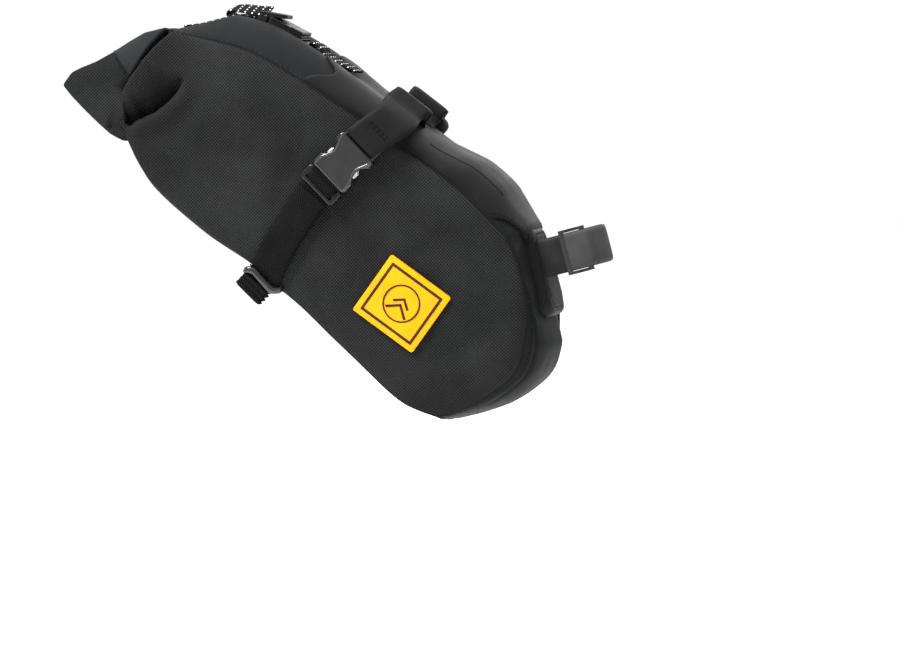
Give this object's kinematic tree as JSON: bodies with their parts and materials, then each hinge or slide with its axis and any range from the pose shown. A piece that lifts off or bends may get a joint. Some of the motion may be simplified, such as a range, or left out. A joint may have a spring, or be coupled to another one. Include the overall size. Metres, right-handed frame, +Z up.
{
  "type": "saddle bag",
  "caption": "Roll-top bicycle saddle bag with rail straps, side release buckles, magnetic top buckle and a seat post strap.",
  "frame": {"origin": "on the seat post's axis, at the middle of the post strap", "axes": "+X forward along the bicycle, +Y to its left, +Z up"},
  "size_m": [0.3081, 0.1232, 0.2401],
  "materials": {
    "side_cloth": "textured woven nylon, matt",
    "gusset_cloth": "smooth coated nylon, satin",
    "lining": "thin coated cloth",
    "board": "flexible sheet",
    "binding": "bound seam",
    "coated_sheet": "matt coated sheet",
    "foam": "closed-cell foam",
    "mesh": "open mesh",
    "patch": "smooth grained",
    "patch_print": "pressed line",
    "collar_cloth": "textured woven nylon, matt",
    "rolled_cloth": "rolled turns of cloth",
    "webbing": "twill webbing",
    "flecked_webbing": "webbing with pale flecks",
    "buckle_plastic": "moulded, satin",
    "latch_plastic": "moulded, satin",
    "magnet": "plated magnet",
    "ring_plastic": "moulded, satin"
  },
  "bodies": {
    "bag": {"side_panel_right": "side_cloth", "side_panel_left": "side_cloth", "top_panel": "gusset_cloth", "nose_panel": "gusset_cloth", "bottom_panel": "gusset_cloth", "liner": "lining", "base_board": "board", "seam_binding_right": "binding", "seam_binding_left": "binding", "mouth_binding": "binding", "front_wrap": "coated_sheet", "pad_shell": "coated_sheet", "rail_strap_right": "coated_sheet", "rail_strap_left": "coated_sheet", "rail_strap_fold_right": "coated_sheet", "rail_strap_fold_left": "coated_sheet", "post_strap": "coated_sheet", "pad_foam": "foam", "pad_mesh": "mesh", "patch": "patch", "patch_border": "patch_print", "base_webbing": "webbing", "side_webbing_right": "webbing", "side_webbing_left": "webbing", "side_tail_right": "webbing", "side_tail_left": "webbing", "front_webbing": "flecked_webbing", "buckle_socket_right": "buckle_plastic", "buckle_socket_left": "buckle_plastic", "latch_base": "latch_plastic", "latch_magnet_base": "magnet", "post_ring": "ring_plastic", "keeper_right": "ring_plastic", "keeper_left": "ring_plastic"},
    "roll": {"roll_collar": "collar_cloth", "roll_core": "rolled_cloth", "roll_board": "board", "roll_webbing": "flecked_webbing"},
    "closure": {"closure_strap": "flecked_webbing", "closure_tail": "flecked_webbing", "latch_upper": "latch_plastic", "latch_magnet_upper": "magnet", "thumb_tab": "latch_plastic"},
    "post_tail": {"post_strap_tail": "coated_sheet"},
    "plug_right": {"buckle_plug_right": "buckle_plastic"},
    "prong_upper_right_body": {"prong_upper_right": "buckle_plastic"},
    "prong_lower_right_body": {"prong_lower_right": "buckle_plastic"},
    "plug_left": {"buckle_plug_left": "buckle_plastic"},
    "prong_upper_left_body": {"prong_upper_left": "buckle_plastic"},
    "prong_lower_left_body": {"prong_lower_left": "buckle_plastic"}
  },
  "joints": [
    {"name": "roll_swing", "type": "hinge", "parent": "bag", "child": "roll", "pos_m": [-0.2266, 0, 0.1324], "axis": [0, 1, 0], "range_deg": [0, 65]},
    {"name": "closure_lift", "type": "hinge", "parent": "bag", "child": "closure", "pos_m": [-0.2266, 0, 0.1324], "axis": [0, -1, 0], "range_deg": [0, 60]},
    {"name": "plug_slide_right", "type": "slide", "parent": "bag", "child": "plug_right", "axis": [-0.7133, 0, -0.7009], "range_m": [0, 0.008], "deforming": ["side_webbing_right", "side_tail_right"]},
    {"name": "prong_upper_right_squeeze", "type": "hinge", "parent": "plug_right", "child": "prong_upper_right_body", "pos_m": [-0.13528, -0.0581, 0.04958], "axis": [0, 1, 0], "range_deg": [0, 12]},
    {"name": "prong_lower_right_squeeze", "type": "hinge", "parent": "plug_right", "child": "prong_lower_right_body", "pos_m": [-0.12519, -0.0581, 0.03931], "axis": [0, -1, 0], "range_deg": [0, 12]},
    {"name": "plug_slide_left", "type": "slide", "parent": "bag", "child": "plug_left", "axis": [-0.7133, 0, -0.7009], "range_m": [0, 0.008], "deforming": ["side_webbing_left", "side_tail_left"]},
    {"name": "prong_upper_left_squeeze", "type": "hinge", "parent": "plug_left", "child": "prong_upper_left_body", "pos_m": [-0.13528, 0.0581, 0.04958], "axis": [0, 1, 0], "range_deg": [0, 12]},
    {"name": "prong_lower_left_squeeze", "type": "hinge", "parent": "plug_left", "child": "prong_lower_left_body", "pos_m": [-0.12519, 0.0581, 0.03931], "axis": [0, -1, 0], "range_deg": [0, 12]},
    {"name": "tail_peel", "type": "hinge", "parent": "bag", "child": "post_tail", "pos_m": [0.01793, 0.00327, 0.00481], "axis": [-0.2588, 0, 0.9659], "range_deg": [0, 95]}
  ],
  "couplings": [
    {"joint": "prong_upper_right_squeeze", "follows": "plug_slide_right", "rad_per_m": 25.09},
    {"joint": "prong_lower_right_squeeze", "follows": "plug_slide_right", "rad_per_m": 25.09},
    {"joint": "prong_upper_left_squeeze", "follows": "plug_slide_left", "rad_per_m": 25.09},
    {"joint": "prong_lower_left_squeeze", "follows": "plug_slide_left", "rad_per_m": 25.09}
  ]
}
